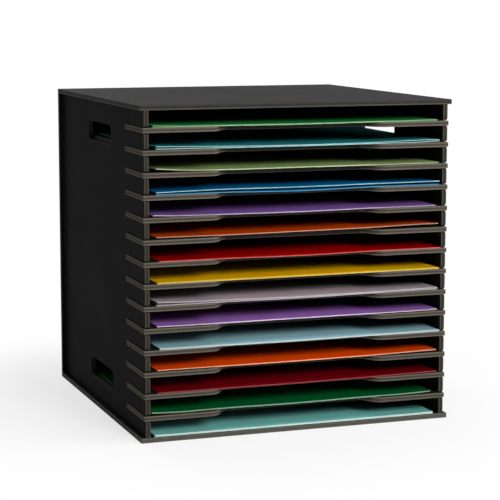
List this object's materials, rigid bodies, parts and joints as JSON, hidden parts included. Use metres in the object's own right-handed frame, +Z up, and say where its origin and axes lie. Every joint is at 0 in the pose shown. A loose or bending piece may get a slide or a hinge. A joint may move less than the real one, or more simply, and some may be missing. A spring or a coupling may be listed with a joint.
{
  "type": "scrapbook paper organizer",
  "caption": "Open-front square case of black board with slide-in shelves that have wide finger notches, hand holes in its sides and a pack of coloured paper in each flat compartment.",
  "frame": {"origin": "middle of the underside of the bottom panel", "axes": "+Z up, -Y out of the open front, +X to the right as seen from the front"},
  "size_m": [0.3342, 0.334, 0.335],
  "materials": {
    "black_board": "matt black foamed sheet, saw-cut edges a little greyer",
    "green_paper": "plain coloured card",
    "teal_paper": "plain coloured card",
    "olive_paper": "plain coloured card",
    "blue_paper": "plain coloured card",
    "violet_paper": "plain coloured card",
    "orange_paper": "plain coloured card",
    "red_paper": "plain coloured card",
    "amber_paper": "plain coloured card",
    "grey_lilac_paper": "plain coloured card",
    "purple_paper": "plain coloured card",
    "pale_blue_paper": "plain coloured card",
    "dark_orange_paper": "plain coloured card",
    "dark_red_paper": "plain coloured card",
    "dark_green_paper": "plain coloured card",
    "pale_teal_paper": "plain coloured card"
  },
  "bodies": {
    "case": {"top_panel": "black_board", "bottom_panel": "black_board", "back_panel": "black_board", "left_side_panel": "black_board", "right_side_panel": "black_board"},
    "shelf_01": {"shelf_01": "black_board"},
    "shelf_02": {"shelf_02": "black_board"},
    "shelf_03": {"shelf_03": "black_board"},
    "shelf_04": {"shelf_04": "black_board"},
    "shelf_05": {"shelf_05": "black_board"},
    "shelf_06": {"shelf_06": "black_board"},
    "shelf_07": {"shelf_07": "black_board"},
    "shelf_08": {"shelf_08": "black_board"},
    "shelf_09": {"shelf_09": "black_board"},
    "shelf_10": {"shelf_10": "black_board"},
    "shelf_11": {"shelf_11": "black_board"},
    "shelf_12": {"shelf_12": "black_board"},
    "shelf_13": {"shelf_13": "black_board"},
    "shelf_14": {"shelf_14": "black_board"},
    "paper_01": {"paper_01": "green_paper"},
    "paper_02": {"paper_02": "teal_paper"},
    "paper_03": {"paper_03": "olive_paper"},
    "paper_04": {"paper_04": "blue_paper"},
    "paper_05": {"paper_05": "violet_paper"},
    "paper_06": {"paper_06": "orange_paper"},
    "paper_07": {"paper_07": "red_paper"},
    "paper_08": {"paper_08": "amber_paper"},
    "paper_09": {"paper_09": "grey_lilac_paper"},
    "paper_10": {"paper_10": "purple_paper"},
    "paper_11": {"paper_11": "pale_blue_paper"},
    "paper_12": {"paper_12": "dark_orange_paper"},
    "paper_13": {"paper_13": "dark_red_paper"},
    "paper_14": {"paper_14": "dark_green_paper"},
    "paper_15": {"paper_15": "pale_teal_paper"}
  },
  "joints": [
    {"name": "shelf_01_slide", "type": "slide", "parent": "case", "child": "shelf_01", "axis": [0, -1, 0], "range_m": [0, 0.345]},
    {"name": "shelf_02_slide", "type": "slide", "parent": "case", "child": "shelf_02", "axis": [0, -1, 0], "range_m": [0, 0.345]},
    {"name": "shelf_03_slide", "type": "slide", "parent": "case", "child": "shelf_03", "axis": [0, -1, 0], "range_m": [0, 0.345]},
    {"name": "shelf_04_slide", "type": "slide", "parent": "case", "child": "shelf_04", "axis": [0, -1, 0], "range_m": [0, 0.345]},
    {"name": "shelf_05_slide", "type": "slide", "parent": "case", "child": "shelf_05", "axis": [0, -1, 0], "range_m": [0, 0.345]},
    {"name": "shelf_06_slide", "type": "slide", "parent": "case", "child": "shelf_06", "axis": [0, -1, 0], "range_m": [0, 0.345]},
    {"name": "shelf_07_slide", "type": "slide", "parent": "case", "child": "shelf_07", "axis": [0, -1, 0], "range_m": [0, 0.345]},
    {"name": "shelf_08_slide", "type": "slide", "parent": "case", "child": "shelf_08", "axis": [0, -1, 0], "range_m": [0, 0.345]},
    {"name": "shelf_09_slide", "type": "slide", "parent": "case", "child": "shelf_09", "axis": [0, -1, 0], "range_m": [0, 0.345]},
    {"name": "shelf_10_slide", "type": "slide", "parent": "case", "child": "shelf_10", "axis": [0, -1, 0], "range_m": [0, 0.345]},
    {"name": "shelf_11_slide", "type": "slide", "parent": "case", "child": "shelf_11", "axis": [0, -1, 0], "range_m": [0, 0.345]},
    {"name": "shelf_12_slide", "type": "slide", "parent": "case", "child": "shelf_12", "axis": [0, -1, 0], "range_m": [0, 0.345]},
    {"name": "shelf_13_slide", "type": "slide", "parent": "case", "child": "shelf_13", "axis": [0, -1, 0], "range_m": [0, 0.345]},
    {"name": "shelf_14_slide", "type": "slide", "parent": "case", "child": "shelf_14", "axis": [0, -1, 0], "range_m": [0, 0.345]},
    {"name": "paper_01_slide", "type": "slide", "parent": "shelf_01", "child": "paper_01", "axis": [0, -1, 0], "range_m": [0, 0.33]},
    {"name": "paper_02_slide", "type": "slide", "parent": "shelf_02", "child": "paper_02", "axis": [0, -1, 0], "range_m": [0, 0.33]},
    {"name": "paper_03_slide", "type": "slide", "parent": "shelf_03", "child": "paper_03", "axis": [0, -1, 0], "range_m": [0, 0.33]},
    {"name": "paper_04_slide", "type": "slide", "parent": "shelf_04", "child": "paper_04", "axis": [0, -1, 0], "range_m": [0, 0.33]},
    {"name": "paper_05_slide", "type": "slide", "parent": "shelf_05", "child": "paper_05", "axis": [0, -1, 0], "range_m": [0, 0.33]},
    {"name": "paper_06_slide", "type": "slide", "parent": "shelf_06", "child": "paper_06", "axis": [0, -1, 0], "range_m": [0, 0.33]},
    {"name": "paper_07_slide", "type": "slide", "parent": "shelf_07", "child": "paper_07", "axis": [0, -1, 0], "range_m": [0, 0.33]},
    {"name": "paper_08_slide", "type": "slide", "parent": "shelf_08", "child": "paper_08", "axis": [0, -1, 0], "range_m": [0, 0.33]},
    {"name": "paper_09_slide", "type": "slide", "parent": "shelf_09", "child": "paper_09", "axis": [0, -1, 0], "range_m": [0, 0.33]},
    {"name": "paper_10_slide", "type": "slide", "parent": "shelf_10", "child": "paper_10", "axis": [0, -1, 0], "range_m": [0, 0.33]},
    {"name": "paper_11_slide", "type": "slide", "parent": "shelf_11", "child": "paper_11", "axis": [0, -1, 0], "range_m": [0, 0.33]},
    {"name": "paper_12_slide", "type": "slide", "parent": "shelf_12", "child": "paper_12", "axis": [0, -1, 0], "range_m": [0, 0.33]},
    {"name": "paper_13_slide", "type": "slide", "parent": "shelf_13", "child": "paper_13", "axis": [0, -1, 0], "range_m": [0, 0.33]},
    {"name": "paper_14_slide", "type": "slide", "parent": "shelf_14", "child": "paper_14", "axis": [0, -1, 0], "range_m": [0, 0.33]},
    {"name": "paper_15_slide", "type": "slide", "parent": "case", "child": "paper_15", "axis": [0, -1, 0], "range_m": [0, 0.33]}
  ]
}
